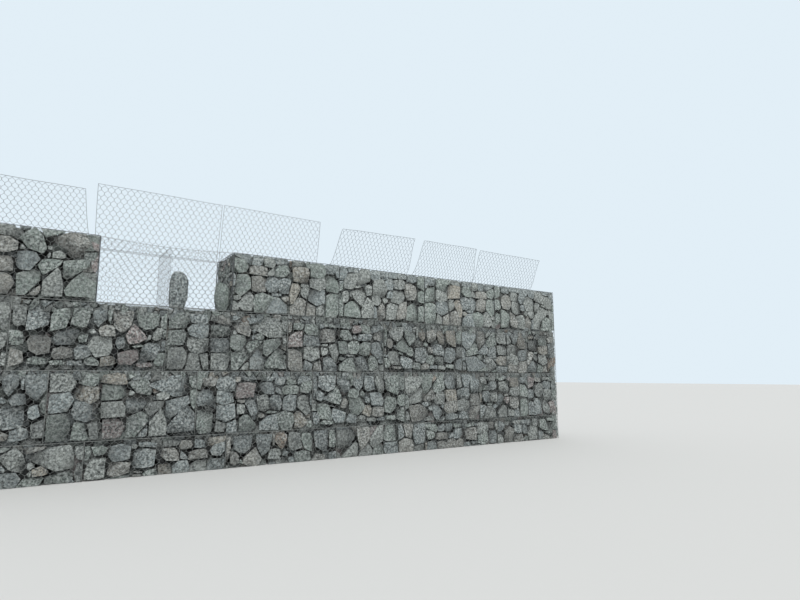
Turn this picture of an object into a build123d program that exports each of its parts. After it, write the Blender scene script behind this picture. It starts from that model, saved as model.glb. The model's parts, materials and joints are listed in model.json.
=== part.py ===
"""Gabion retaining wall, six bays long and four courses high, in millimetres.

Stone-filled wire baskets stand in a staggered bond. The second basket of the top course is still
empty but for two facing stones, and the lid of every basket of the top course stands open on its
rear edge. X runs along the wall, Y from the front face to the back, and Z up from ground level.
"""

import os
from math import cos, pi, radians, sin

from build123d import *

# The wall
bays = 6
basket_length = 2000
basket_depth = 1000
course_height = 1000
foot_height = 550
half_basket = basket_length / 2
short_basket = 0.75 * basket_length

# The laced edges of the baskets: selvedge wires of two or more panels, wound together
edge_reach = 8

# The stone fill swells between the laced edges
bulge = 30
bulge_inset = 25
bulge_shoulder = 170

# The netting, its meshes drawn about three and a half times as wide as the real ones
mesh_width = 265
mesh_height = 235
twist_length = 105
mesh_wire = 5
rim_wire = 8

# The lids
lid_height = 1050
lid_side_gap = 20
lid_clearance = 5
hinge_gap = 0.3
lid_leans = (-9, 14, 12, 39, 30, 32)
lid_tucks = ((0, 160), (0, 0), (0, 30), (190, 0), (260, 30), (0, 0))

# The basket that is being filled, and the facing stones that stand in it
open_bay = 2
stone_1_width, stone_1_thickness, stone_1_height = 300, 220, 600
stone_2_width, stone_2_thickness, stone_2_height = 260, 210, 480
stone_1_offset = 8
stone_2_offset = 10
stone_setback = 30
stone_sides = 7
stone_profile = ((0, 0.78), (0.28, 1.0), (0.72, 0.88), (0.93, 0.55), (1.0, 0.3))

wall_length = bays * basket_length
wall_left = -wall_length / 2
wall_right = wall_length / 2
front_y = -basket_depth / 2
rear_y = basket_depth / 2
edge_side = edge_reach * 2**0.5
tiny = 0.01

# Baskets of each course from left to right, None for the empty one
middle_baskets = [basket_length] * (bays - 1)
courses = (
    [basket_length] * bays,
    [short_basket] + middle_baskets[1:] + [short_basket, 2 * basket_length - 2 * short_basket],
    [half_basket] + middle_baskets + [half_basket],
    [basket_length] * bays,
)


def course_bottom(course):
    """Height of the lower face of a course, counted from 1."""
    return 0 if course == 1 else foot_height + (course - 2) * course_height


def course_top(course):
    """Height of the upper face of a course, counted from 1."""
    return foot_height + (course - 1) * course_height


def joint_lines(course):
    """The X places where a course's baskets begin and end."""
    places = [wall_left]
    for length in courses[course - 1]:
        places.append(places[-1] + length)
    return places


def finish(part, name):
    """Label a finished piece and write its file."""
    part.label = name
    export_step(part, f"parts/{name}.step")


def pillow(plane, width, height):
    """Swell one face of the stone fill between its laced edges."""
    with BuildSketch(plane) as foot:
        Rectangle(width - 2 * bulge_inset, height - 2 * bulge_inset)
    with BuildSketch(plane.offset(bulge)) as crown:
        Rectangle(width - 2 * bulge_shoulder, height - 2 * bulge_shoulder)
    loft([foot.sketch, crown.sketch])


def stone_fill(name, course, x_left, x_right):
    """The stones of one basket, as one block with grooves for the laced edges."""
    bottom, top = course_bottom(course), course_top(course)
    width, height = x_right - x_left, top - bottom
    middle = Vector((x_left + x_right) / 2, 0, (bottom + top) / 2)

    def at_wall_end(edge):
        return abs(abs(edge.center().X) - wall_right) < tiny

    def above_ground(edge):
        return edge.center().Z > tiny

    with BuildPart() as fill:
        with BuildSketch(Plane.XY.offset(bottom)):
            with Locations((middle.X, 0)):
                Rectangle(width, basket_depth)
        extrude(amount=height)
        grooves = fill.edges().filter_by(Axis.Z)
        grooves += fill.edges().filter_by(Axis.X).filter_by(above_ground)
        across = fill.edges().filter_by(Axis.Y).filter_by(above_ground)
        if course == len(courses):
            grooves += across.group_by(Axis.Z)[-1]
            across = across.group_by(Axis.Z)[0]
        grooves += across.filter_by(at_wall_end)
        chamfer(grooves, length=edge_reach)
        front = Plane(origin=middle + (0, front_y, 0), x_dir=(1, 0, 0), z_dir=(0, -1, 0))
        rear = Plane(origin=middle + (0, rear_y, 0), x_dir=(-1, 0, 0), z_dir=(0, 1, 0))
        pillow(front, width, height)
        pillow(rear, width, height)
        if abs(x_left - wall_left) < tiny:
            end = Plane(origin=(x_left, 0, middle.Z), x_dir=(0, -1, 0), z_dir=(-1, 0, 0))
            pillow(end, basket_depth, height)
        if abs(x_right - wall_right) < tiny:
            end = Plane(origin=(x_right, 0, middle.Z), x_dir=(0, 1, 0), z_dir=(1, 0, 0))
            pillow(end, basket_depth, height)
    finish(fill.part, name)


def edge_along_x(y, z):
    """A laced edge along the whole wall."""
    with BuildSketch(Plane.YZ.offset(wall_left)) as section:
        with Locations((y, z)):
            Rectangle(edge_side, edge_side, rotation=45)
    extrude(section.sketch, amount=wall_length)


def edge_along_y(x, z):
    """A laced edge from the front face to the back."""
    with BuildSketch(Plane.XZ.offset(-rear_y)) as section:
        with Locations((x, z)):
            Rectangle(edge_side, edge_side, rotation=45)
    extrude(section.sketch, amount=basket_depth)


def edge_along_z(x, y, bottom, top):
    """A laced upright edge."""
    with BuildSketch(Plane.XY.offset(bottom)) as section:
        with Locations((x, y)):
            Rectangle(edge_side, edge_side, rotation=45)
    extrude(section.sketch, amount=top - bottom)


def edge_frame(course):
    """The laced edges of one course: its uprights and the rails along its top."""
    bottom, top = course_bottom(course), course_top(course)
    if course > 1:
        bottom += edge_reach
    joints = joint_lines(course)
    crossings = joints if course == len(courses) else [wall_left, wall_right]
    with BuildPart() as frame:
        for y in (front_y, rear_y):
            edge_along_x(y, top)
            for x in joints:
                edge_along_z(x, y, bottom, top)
        for x in crossings:
            edge_along_y(x, top)
    finish(frame.part, f"course_{course}_edges")


def outline(width, height, tucks):
    """A panel standing on the origin, its upper corners pulled in by the left and right tuck."""
    left, right = tucks
    with BuildSketch(mode=Mode.PRIVATE) as panel:
        Polygon(
            (-width / 2, 0),
            (width / 2, 0),
            (width / 2 - right, height),
            (left - width / 2, height),
            align=None,
        )
    return panel.sketch


def netting(width, height, tucks):
    """Hexagonal double-twist netting with upright twists, in the outline of its panel."""
    columns = max(1, round(width / mesh_width))
    rows = max(1, round(height / mesh_height))
    across, up = width / columns, height / rows
    twist = twist_length / 2
    slope = up - twist
    with BuildSketch(mode=Mode.PRIVATE) as mesh:
        with BuildLine():
            Polyline(
                (0, slope),
                (across / 2, twist),
                (across / 2, -twist),
                (0, -slope),
                (-across / 2, -twist),
                (-across / 2, twist),
                close=True,
            )
        make_face()
        offset(amount=-mesh_wire / 2, kind=Kind.INTERSECTION)
    places = []
    for row in range(rows + 1):
        shift = across / 2 if row % 2 else 0
        for column in range(columns + 1):
            places.append((column * across + shift - width / 2, row * up))
    with BuildSketch(mode=Mode.PRIVATE) as net:
        add(outline(width, height, tucks))
        with Locations(*places):
            add(mesh.sketch, mode=Mode.SUBTRACT)
    return net.sketch


def rim(width, height, tucks):
    """The selvedge wire round a panel of netting."""
    with BuildSketch(mode=Mode.PRIVATE) as wire:
        add(outline(width, height, tucks))
        offset(amount=-rim_wire, kind=Kind.INTERSECTION, mode=Mode.SUBTRACT)
    return wire.sketch


def basket_panel(name, plane, width, height, thickness):
    """A flat side of the empty basket, standing on the plane's X axis."""
    square = (0, 0)
    with BuildPart() as panel:
        with BuildSketch(plane):
            add(rim(width, height, square))
        extrude(amount=thickness / 2, both=True)
        with BuildSketch(plane):
            add(netting(width, height, square))
        extrude(amount=mesh_wire / 2, both=True)
    finish(panel.part, name)


def basket_lid(name, x_middle, lean, tucks):
    """A lid that stands open on the rear edge, leaning forward by lean degrees."""
    hinge_radius = lid_clearance + rim_wire / 2 - hinge_gap
    hinge_z = course_top(len(courses)) + edge_reach + hinge_gap + hinge_radius
    width = basket_length - 2 * lid_side_gap
    upright = (0, -cos(radians(lean)), -sin(radians(lean)))
    plane = Plane(origin=(x_middle, rear_y, hinge_z), x_dir=(1, 0, 0), z_dir=upright)
    with BuildPart() as lid:
        with BuildSketch(plane):
            add(rim(width, lid_height, tucks))
        extrude(amount=rim_wire / 2, both=True)
        with BuildSketch(plane):
            add(netting(width, lid_height, tucks))
        extrude(amount=mesh_wire / 2, both=True)
        with BuildSketch(Plane.YZ.offset(x_middle - width / 2)):
            with Locations((rear_y, hinge_z)):
                Circle(hinge_radius)
        extrude(amount=width)
    finish(lid.part, name)


def facing_stone(name, x, y, width, thickness, height):
    """A big stone set on end at the front of the basket, narrowing to a rounded crown."""
    foot = course_top(len(courses) - 1)
    turn = 2 * pi / stone_sides
    with BuildPart() as stone:
        for level, share in stone_profile:
            with BuildSketch(Plane.XY.offset(foot + level * height)):
                with Locations((x, y)):
                    Polygon(
                        *[
                            (share * width / 2 * cos(turn * i), share * thickness / 2 * sin(turn * i))
                            for i in range(stone_sides)
                        ],
                        align=None,
                    )
        loft(ruled=True)
    finish(stone.part, name)


os.makedirs("parts", exist_ok=True)

for course in range(1, len(courses) + 1):
    joints = joint_lines(course)
    for place, (x_left, x_right) in enumerate(zip(joints, joints[1:]), 1):
        if course < len(courses) or place != open_bay:
            stone_fill(f"course_{course}_fill_{place}", course, x_left, x_right)
    edge_frame(course)

open_left = wall_left + (open_bay - 1) * basket_length
open_right = open_left + basket_length
open_middle = (open_left + open_right) / 2
open_floor = course_top(len(courses) - 1)
open_rim = course_top(len(courses))
clear_length = basket_length - 2 * edge_reach
clear_depth = basket_depth - 2 * edge_reach
clear_height = course_height - 2 * edge_reach
panel_foot = open_floor + edge_reach

for name, y in (("open_basket_front", front_y), ("open_basket_rear", rear_y)):
    face = Plane(origin=(open_middle, y, panel_foot), x_dir=(1, 0, 0), z_dir=(0, -1, 0))
    basket_panel(name, face, clear_length, clear_height, rim_wire)

for name, x in (
    ("open_basket_left_side", open_left + mesh_wire / 2),
    ("open_basket_right_side", open_right - mesh_wire / 2),
):
    face = Plane(origin=(x, 0, panel_foot), x_dir=(0, 1, 0), z_dir=(1, 0, 0))
    basket_panel(name, face, clear_depth, clear_height, mesh_wire)

face = Plane(origin=(open_middle, 0, open_floor), x_dir=(0, 1, 0), z_dir=(1, 0, 0))
basket_panel("open_basket_diaphragm", face, clear_depth, course_height, rim_wire)

stone_1_x = open_middle + rim_wire / 2 + stone_1_offset + stone_1_width / 2
stone_1_y = front_y + stone_setback + stone_1_thickness / 2
facing_stone(
    "facing_stone_1", stone_1_x, stone_1_y, stone_1_width, stone_1_thickness, stone_1_height
)
stone_2_x = open_right - mesh_wire - stone_2_offset - stone_2_width / 2
stone_2_y = front_y + stone_setback + stone_2_thickness / 2
facing_stone(
    "facing_stone_2", stone_2_x, stone_2_y, stone_2_width, stone_2_thickness, stone_2_height
)

for bay, (lean, tucks) in enumerate(zip(lid_leans, lid_tucks), 1):
    basket_lid(f"lid_{bay}", wall_left + (bay - 0.5) * basket_length, lean, tucks)
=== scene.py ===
# %% [markdown]
# # A gabion wall of stone-filled wire baskets
# The wall is six bays long and four courses high. Every basket is a cage of hexagonal netting,
# packed with quarried stone whose flat sides face outwards. The second basket of the top course
# is still empty, and all the lids of that course stand open on their rear edges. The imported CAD
# model gives the places and sizes; this file adds each stone and each wire.

import json
import time
from math import cos, pi, radians, sin
from random import Random

import bmesh
import bpy
import numpy as np
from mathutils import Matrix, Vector


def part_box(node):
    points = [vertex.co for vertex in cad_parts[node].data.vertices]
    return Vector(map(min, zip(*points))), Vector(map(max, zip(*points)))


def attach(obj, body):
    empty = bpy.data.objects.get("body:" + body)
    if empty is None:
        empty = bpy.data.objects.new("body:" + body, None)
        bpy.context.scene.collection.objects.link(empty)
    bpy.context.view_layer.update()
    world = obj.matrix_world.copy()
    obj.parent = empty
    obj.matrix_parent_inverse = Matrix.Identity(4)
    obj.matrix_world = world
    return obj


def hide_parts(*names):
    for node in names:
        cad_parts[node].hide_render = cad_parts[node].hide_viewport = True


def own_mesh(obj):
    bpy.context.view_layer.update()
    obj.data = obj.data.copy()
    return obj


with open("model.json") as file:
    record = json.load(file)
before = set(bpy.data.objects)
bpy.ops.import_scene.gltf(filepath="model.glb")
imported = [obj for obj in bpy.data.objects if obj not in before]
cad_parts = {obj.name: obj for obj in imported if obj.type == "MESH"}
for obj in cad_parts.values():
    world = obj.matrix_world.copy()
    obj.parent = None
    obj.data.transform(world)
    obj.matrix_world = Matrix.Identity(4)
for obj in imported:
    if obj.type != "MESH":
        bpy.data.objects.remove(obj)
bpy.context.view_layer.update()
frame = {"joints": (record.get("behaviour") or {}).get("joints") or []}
bpy.ops.object.select_all(action="DESELECT")
started = time.time()


def clock(what):
    """Say what a cell made, and how long the script has run."""
    print(f"{time.time() - started:6.1f} s  {what}")


# %% [markdown]
# ## Camera
# The photograph was taken from near the left end, about nine metres in front of the wall, with a
# wide lens turned 34 degrees to the right and 8 degrees up. Those numbers come from fitting the
# ends of the course lines, so the render and the photograph can be laid over each other.

# %% Camera
bpy.ops.object.camera_add(
    location=(-4.717, -9.566, 1.459), rotation=(radians(98.05), 0, radians(-33.95))
)
camera = bpy.context.object
camera.name = "camera"
camera.data.sensor_fit = "HORIZONTAL"
camera.data.sensor_width = 36
camera.data.lens = 24.525
camera.data.clip_end = 300
bpy.context.scene.camera = camera
clock("camera")

# %% [markdown]
# ## Shader maths
# A material is a small program made of nodes. Written as plain arithmetic it stays readable, so
# one class wraps an output socket: adding or multiplying two of them adds a Math node, and one
# method makes every other node.


# %% A socket that can be calculated with
class Flow:
    """An output socket of a material. Arithmetic on it adds Math nodes."""

    def __init__(self, tree, socket=None):
        self.tree, self.socket = tree, socket

    def node(self, kind, settings=None, values=None, output=0):
        """Add a node: first its settings, then the values or links of its inputs."""
        made = self.tree.nodes.new(kind)
        for key, value in (settings or {}).items():
            if key == "stops":
                ramp = made.color_ramp.elements
                ramp.remove(ramp[1])
                ramp[0].position = value[0][0]
                for place, _ in value[1:]:
                    ramp.new(place)
                for stop, (_, colour) in zip(ramp, value):
                    stop.color = (*colour, 1)
            elif key == "fading":
                made.color_ramp.interpolation = value
            else:
                setattr(made, key, value)
        for key, value in (values or {}).items():
            if isinstance(value, Flow):
                self.tree.links.new(value.socket, made.inputs[key])
            else:
                made.inputs[key].default_value = value
        return Flow(self.tree, made.outputs[output] if made.outputs else None)

    def math(self, operation, *values):
        return self.node("ShaderNodeMath", {"operation": operation}, dict(enumerate(values)))

    def __add__(self, other):
        return self.math("ADD", self, other)

    def __mul__(self, other):
        return self.math("MULTIPLY", self, other)

    def __rsub__(self, other):
        return self.math("SUBTRACT", other, self)

    __radd__ = __add__

    def between(self, low, high):
        """0 below low, 1 above high, and a smooth step between them."""
        return self.node(
            "ShaderNodeMapRange",
            {"interpolation_type": "SMOOTHSTEP"},
            {0: self, 1: low, 2: high, 3: 0.0, 4: 1.0},
        )

    def mix(self, share, other):
        """This colour with a share of another one laid over it."""
        return self.node("ShaderNodeMix", {"data_type": "RGBA"}, {0: share, 6: self, 7: other}, 2)

    def noise(self, place, scale, detail, roughness):
        values = {"Vector": place, "Scale": scale, "Detail": detail, "Roughness": roughness}
        return self.node("ShaderNodeTexNoise", None, values)

    def crystals(self, place, scale):
        return self.node("ShaderNodeTexVoronoi", None, {"Vector": place, "Scale": scale})

    def carried(self, name, output=2):
        """A value that the points of a mesh carry."""
        return self.node("ShaderNodeAttribute", {"attribute_name": name}, output=output)


def new_material(name):
    """An empty material and its first flow."""
    material = bpy.data.materials.new(name)
    material.use_nodes = True
    material.node_tree.nodes.clear()
    return material, Flow(material.node_tree)


def finish_material(flow, values):
    """Feed the one shader, and the shader to the output."""
    shader = flow.node("ShaderNodeBsdfPrincipled", None, values)
    flow.node("ShaderNodeOutputMaterial", None, {0: shader})


# %% [markdown]
# ## Stone
# The quarry stone is a grey rock with a grain of one to two centimetres of light and dark
# crystals. Most pieces are blue-grey or green-grey, some are tan, ochre or pink. Each stone
# carries four values of its own: a tone that picks its colour, a shade that makes it darker, how
# strongly its grain shows, and a shift that moves the pattern, so that no grain runs on from one
# stone to the next. The shade is partly the stone's own darker colour, at random, and partly
# painted shade that depends on where the stone lies. Each point carries its depth behind the
# netting, from which painted shade darkens the joints and recesses nearly to black.

# %% Stone material
stone, flow = new_material("rubble stone")
place = flow.node("ShaderNodeTexCoord", output=3)
shift = flow.carried("shift", 1)
tone, shade, depth, coarse = map(flow.carried, ("tone", "shade", "depth", "rough"))
spot = flow.node("ShaderNodeVectorMath", {"operation": "ADD"}, {0: place, 1: shift})

blue_grey, green_grey = (0.285, 0.335, 0.338), (0.292, 0.350, 0.315)
plain_grey, brown_grey = (0.325, 0.355, 0.332), (0.345, 0.342, 0.308)
tan, ochre, rose = (0.400, 0.370, 0.305), (0.400, 0.300, 0.215), (0.375, 0.305, 0.292)
tones = [
    (0.00, blue_grey),
    (0.28, green_grey),
    (0.58, plain_grey),
    (0.82, brown_grey),
    (0.94, tan),
    (0.97, rose),
    (0.99, ochre),
]
own = flow.node("ShaderNodeValToRGB", {"stops": tones, "fading": "CONSTANT"}, {0: tone})
clouds = flow.noise(spot, 6.0, 4.0, 0.6)
grain = flow.noise(spot, 29.0, 5.0, 0.75)
hackle = flow.crystals(spot, 13.0)
crystals = flow.crystals(spot, 62.0)
fine = flow.noise(spot, 110.0, 2.0, 0.6)
base = own.mix(clouds.between(0.50, 0.68) * 0.45, (0.46, 0.49, 0.46, 1))
base = base.mix((1 - clouds.between(0.34, 0.50)) * 0.5, (0.15, 0.17, 0.17, 1))
base = base.mix(grain.between(0.52, 0.58) * 0.72 * coarse, (0.62, 0.66, 0.64, 1))
base = base.mix((1 - grain.between(0.42, 0.48)) * 0.90 * coarse, (0.060, 0.070, 0.068, 1))
base = base.mix(fine.between(0.56, 0.70) * 0.45, (0.75, 0.76, 0.73, 1))
base = base.mix((1 - fine.between(0.32, 0.42)) * 0.4, (0.05, 0.055, 0.055, 1))
# the stone's shade: partly its own darker colour at random, partly painted shade by where it lies
base = base.mix(shade, (0.045, 0.050, 0.051, 1))
# painted shade: points that lie deep behind the netting, in the joints and recesses, are darkened nearly
# to black
base = base.mix(depth * 0.95, (0.004, 0.004, 0.004, 1))
relief = clouds * 1.4 + hackle * 0.6 + grain * 1.0 + crystals * 0.22 + fine * 0.16
bump = flow.node("ShaderNodeBump", None, {"Strength": 1.0, "Distance": 0.030, "Height": relief})
finish_material(flow, {"Base Color": base, "Roughness": 0.86 - grain * 0.18, "Normal": bump})
clock("stone material")

# %% [markdown]
# ## Wire
# The netting is woven from zinc-coated wire in a grey plastic jacket. It is dull and looks dark
# against the sky, so there it is painted much darker than its grey, as painted shade. Where it lies
# over the stones a lighter copy of it is used, painted as lit.

# %% Wire material
wire, flow = new_material("coated wire")
place = flow.node("ShaderNodeTexCoord", output=3)
dust = flow.noise(place, 9.0, 3.0, 0.6)
scuff = flow.noise(place, 260.0, 2.0, 0.5)
# painted shade: the grey wire is coloured nearly black, as it looks against the sky
base = flow.node(
    "ShaderNodeValToRGB",
    {"stops": [(0.3, (0.060, 0.068, 0.074)), (0.7, (0.125, 0.135, 0.138))]},
    {0: dust * 0.75 + scuff * 0.25},
)
bump = flow.node("ShaderNodeBump", None, {"Strength": 0.3, "Distance": 0.0006, "Height": scuff})
finish_material(
    flow,
    {"Base Color": base, "Roughness": 0.42 + dust * 0.3, "Metallic": 0.25, "Normal": bump},
)

lit_wire, flow = new_material("lit wire")
place = flow.node("ShaderNodeTexCoord", output=3)
dust = flow.noise(place, 9.0, 3.0, 0.6)
# painted light: the same wire, lighter, for netting that lies over the stones
base = flow.node(
    "ShaderNodeValToRGB",
    {"stops": [(0.3, (0.15, 0.165, 0.16)), (0.7, (0.30, 0.315, 0.30))]},
    {0: dust},
)
finish_material(flow, {"Base Color": base, "Roughness": 0.6 + dust * 0.3})
clock("wire materials")

# %% [markdown]
# ## Joined meshes
# A wall holds thousands of stones and tens of thousands of wires, too many for an object each.
# A heap collects the points and faces of many small shapes, and makes one mesh of them at the end.


# %% Collecting many shapes in one mesh
class Heap:
    """Points, faces and per-point values of many small shapes, for one joined mesh."""

    def __init__(self):
        self.points, self.corners, self.totals, self.count, self.values = [], [], [], 0, {}

    def add(self, points, faces, **values):
        """Add a shape. Faces is an array with a row per face, or a list of lists."""
        points = np.asarray(points, float).reshape(-1, 3)
        if isinstance(faces, np.ndarray):
            self.corners.append(faces.reshape(-1) + self.count)
            self.totals.append(np.full(len(faces), faces.shape[1]))
        else:
            self.corners.append(np.concatenate([np.asarray(f, int) for f in faces]) + self.count)
            self.totals.append(np.array([len(f) for f in faces]))
        self.points.append(points)
        self.count += len(points)
        for name, value in values.items():
            shape = (len(points), 3) if name == "shift" else (len(points),)
            rows = np.broadcast_to(np.asarray(value, float), shape)
            self.values.setdefault(name, []).append(rows.reshape(-1))

    def triangles(self):
        return int(sum((t - 2).sum() for t in self.totals))

    def piece(self, name, material, body, slot, *nodes, faceted=False):
        """Make the joined mesh, attach it to its body and hide the CAD nodes it stands for. Faceted
        leaves every face flat.
        """
        mesh = bpy.data.meshes.new(name)
        points = np.concatenate(self.points)
        corners = np.concatenate(self.corners)
        totals = np.concatenate(self.totals)
        mesh.vertices.add(len(points))
        mesh.vertices.foreach_set("co", points.reshape(-1))
        mesh.loops.add(len(corners))
        mesh.loops.foreach_set("vertex_index", corners)
        mesh.polygons.add(len(totals))
        mesh.polygons.foreach_set("loop_start", np.concatenate([[0], np.cumsum(totals)[:-1]]))
        for key, rows in self.values.items():
            kind, field = ("FLOAT_VECTOR", "vector") if key == "shift" else ("FLOAT", "value")
            made = mesh.attributes.new(key, kind, "POINT")
            made.data.foreach_set(field, np.concatenate(rows))
        mesh.update(calc_edges=True)
        mesh.validate()
        if faceted:
            mesh.shade_flat()
        mesh.materials.append(material)
        made = bpy.data.objects.new(name, mesh)
        bpy.context.scene.collection.objects.link(made)
        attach(made, body)
        if nodes:
            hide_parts(*nodes)
        tally[name] = self.triangles()
        return made


tally = {}

# %% [markdown]
# ## Baskets
# The courses are staggered like bricks. The lowest one stands 0.55 m out of the ground, the
# others are a metre high. Full baskets swell a few centimetres between their laced edges, because
# the netting gives, and both the stones and the netting follow that swell.

# %% The baskets, course by course
half_length, half_depth = 6.0, 0.5
levels = (0.0, 0.55, 1.55, 2.55, 3.55)
joints = (
    (-6, -4, -2, 0, 2, 4, 6),
    (-6, -4.5, -2.5, -0.5, 1.5, 3.5, 5, 6),
    (-6, -5, -3, -1, 1, 3, 5, 6),
    (-6, -4, -2, 0, 2, 4, 6),
)
swell_height, swell_shoulder = 0.028, 0.17
open_left, open_right = -4.0, -2.0


def swell(along, up, low, high):
    """How far a face stands out of its laced edges, at a distance along and up it."""
    near = np.minimum(along - low[0], high[0] - along) / swell_shoulder
    tall = np.minimum(up - low[1], high[1] - up) / swell_shoulder
    near, tall = np.clip(near, 0, 1), np.clip(tall, 0, 1)
    return swell_height * near * (2 - near) * tall * (2 - tall)


# %% [markdown]
# ## Sawing a stone
# Quarry stone breaks along flat planes. So each stone starts as a block and is sawn off by one
# plane after another: one along each side of its outline or towards each neighbour, and a few on
# the outer side for its hewn face. The edges stay as sharp as they are on fresh rock.

# %% Saw a block by planes
least_cut, thinnest_stone = 0.0015, 0.012


def slice_off(block, point, normal):
    """Saw off all that lies beyond a plane and close the cut. False if nothing would be left."""
    away = normal.dot(point)
    heights = [normal.dot(v.co) - away for v in block.verts]
    if max(heights) < least_cut:
        return True
    if min(heights) > -thinnest_stone:
        return False
    cut = bmesh.ops.bisect_plane(
        block,
        geom=block.verts[:] + block.edges[:] + block.faces[:],
        dist=0.0001,
        plane_co=point,
        plane_no=normal,
        clear_outer=True,
    )
    rim = [e for e in cut["geom_cut"] if isinstance(e, bmesh.types.BMEdge)]
    bmesh.ops.contextual_create(block, geom=rim)
    return True


def saw(low, high, planes):
    """Cut a block by planes, each a point and an outward normal. None if nothing is left."""
    block = bmesh.new()
    bmesh.ops.create_cube(block, size=1.0)
    low, high = Vector(low), Vector(high)
    for v in block.verts:
        v.co = low + (v.co + Vector((0.5, 0.5, 0.5))) * (high - low)
    for point, normal in planes:
        if not slice_off(block, point, normal):
            block.free()
            return None
    return block


# %% [markdown]
# ## Packing stones
# The outer faces are laid stone by stone, further down. What lies behind and on top of them, and
# the fine rubble between two courses, is packed with balls: big ones are thrown at a side until
# no more fit, then smaller ones. Every pair of balls gives one plane between them, so the sawn
# stones fit closely, and a narrow gap is left along each plane.

# %% Throw balls into a basket
# a side's axis, whether it is at the upper end of that axis, and the way out of it
SIDES = {
    "front": (1, 0, Vector((0, -1, 0))),
    "rear": (1, 1, Vector((0, 1, 0))),
    "left": (0, 0, Vector((-1, 0, 0))),
    "right": (0, 1, Vector((1, 0, 0))),
    "top": (2, 1, Vector((0, 0, 1))),
}
# shares of the radius: how close two balls may come, and how far in from a side one lies
ball_overlap, ball_seat = 0.9, 0.9


def throw(rng, balls, box, side, *sizes):
    """Throw balls of some sizes, each a radius and a number of tries, at a side of a box.

    Without a side they land anywhere inside. A ball is its centre and its radius.
    """
    for radius, tries in sizes:
        for _ in range(tries):
            size = radius * rng.uniform(0.85, 1.2)
            spot = [rng.uniform(a + 0.5 * size, b - 0.5 * size) for a, b in zip(*box)]
            if side:
                axis, end, _ = SIDES[side]
                seat = ball_seat * size
                spot[axis] = box[1][axis] - seat if end else box[0][axis] + seat
            if balls:
                others = np.array(balls)
                away = np.sqrt(((others[:, :3] - spot) ** 2).sum(1))
                if (away < ball_overlap * (others[:, 3] + size)).any():
                    continue
            balls.append((*spot, size))


# %% [markdown]
# ## Hewing a face
# On the open sides a stone gets a flat face, tilted a few degrees and set in by up to three
# centimetres. A blow rarely takes off a stone in one plane, so some faces are broken into two or
# three shallow facets, and narrow chips are off round the rim.


# %% Hew a face, and split a stone
# where a cut starts, as a share of the way to the rim, and how many degrees it faces outwards
facet_cut, chip_cut = ((0.0, 0.6), (64, 80)), ((0.88, 0.98), (20, 55))
rim_depth, face_tilt = 0.02, 0.07
# the smallest stone that splits, and the chances that one stays whole or splits twice
splitting_radius, stays_whole, splits_twice = 0.12, 0.30, 0.45


def hew(rng, block, out, inset, facets, chips):
    """Give a sawn stone its outer face: tilted, in facets, with chips off its rim."""
    reach = max(out.dot(v.co) for v in block.verts)
    rim = [v.co for v in block.verts if out.dot(v.co) > reach - rim_depth]
    face = sum(rim, Vector()) / len(rim) - out * inset
    tilt = Vector([rng.gauss(0, face_tilt) for _ in range(3)])
    if not slice_off(block, face, (out + tilt).normalized()):
        return
    side_ways = out.orthogonal().normalized()
    upright = out.cross(side_ways)
    first = rng.uniform(0, 2 * pi)
    cuts = [(rng.uniform(0, 2 * pi), *facet_cut) for _ in range(facets)]
    for k in range(chips):
        cuts.append((first + (k + rng.uniform(-0.4, 0.4)) * 2 * pi / chips, *chip_cut))
    for angle, where, leans in cuts:
        across = side_ways * cos(angle) + upright * sin(angle)
        far = max(across.dot(v.co - face) for v in block.verts)
        lean = radians(rng.uniform(*leans))
        edge = face + across * far * rng.uniform(*where)
        slice_off(block, edge, (across * cos(lean) + out * sin(lean)).normalized())


def split_planes(rng, centre, out, radius):
    """The planes that split a stone: one list of planes for each part."""
    if out is None or radius < splitting_radius or rng.random() < stays_whole:
        return [[]]
    side_ways = out.orthogonal().normalized()
    upright = out.cross(side_ways)

    def plane(angle):
        across = side_ways * cos(angle) + upright * sin(angle) + out * rng.gauss(0, 0.12)
        across.normalize()
        return centre + across * radius * rng.uniform(-0.45, 0.45), across

    gap = rng.uniform(0.004, 0.012)
    angle = rng.uniform(0, pi)
    point, across = plane(angle)
    parts = [[(point - across * gap, across)], [(point + across * gap, -across)]]
    if rng.random() < splits_twice:
        point_2, across_2 = plane(angle + rng.uniform(0.9, 2.2))
        halves = [(point_2 - across_2 * gap, across_2)], [(point_2 + across_2 * gap, -across_2)]
        parts = [parts[0], parts[1] + halves[0], parts[1] + halves[1]]
    return parts


# %% [markdown]
# ## Finishing a stone
# No point may stand out of the netting, so the points are pushed in behind it. How deep a point
# then lies is kept as a number for the material, which paints shade into the deep points. The lids
# of the last three baskets have a belly that still hangs in when they are closed, and the stones
# on top of these baskets leave room.

# %% Finish a stone
shortest_edge, under_netting = 0.007, 0.001
# the depths behind the netting at which painted shade begins to darken a point, and over which it does
dark_from, dark_over = 0.020, 0.050
lid_height = 1.05
# how far a closed lid hangs in, by the left end of its basket
closed_bellies = {0: 0.100, 2: 0.084, 4: 0.061}
lid_stands_off = 0.012


def belly_shape(share):
    """How a lid's belly runs from the hinge, at 0, to its free edge: 1 at a third of the way."""
    return 6.75 * share * (1 - share) ** 2


def hollow(points, basket):
    """How far the stones stay below the top of a basket, so that its lid can close."""
    (left, _, _), (_, _, top) = basket
    if top < levels[3] + 0.5 or round(left) not in closed_bellies:
        return 0.0
    belly = closed_bellies[round(left)] * belly_shape((half_depth - points[:, 1]) / lid_height)
    return np.maximum(0.0, belly - lid_stands_off)


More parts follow.
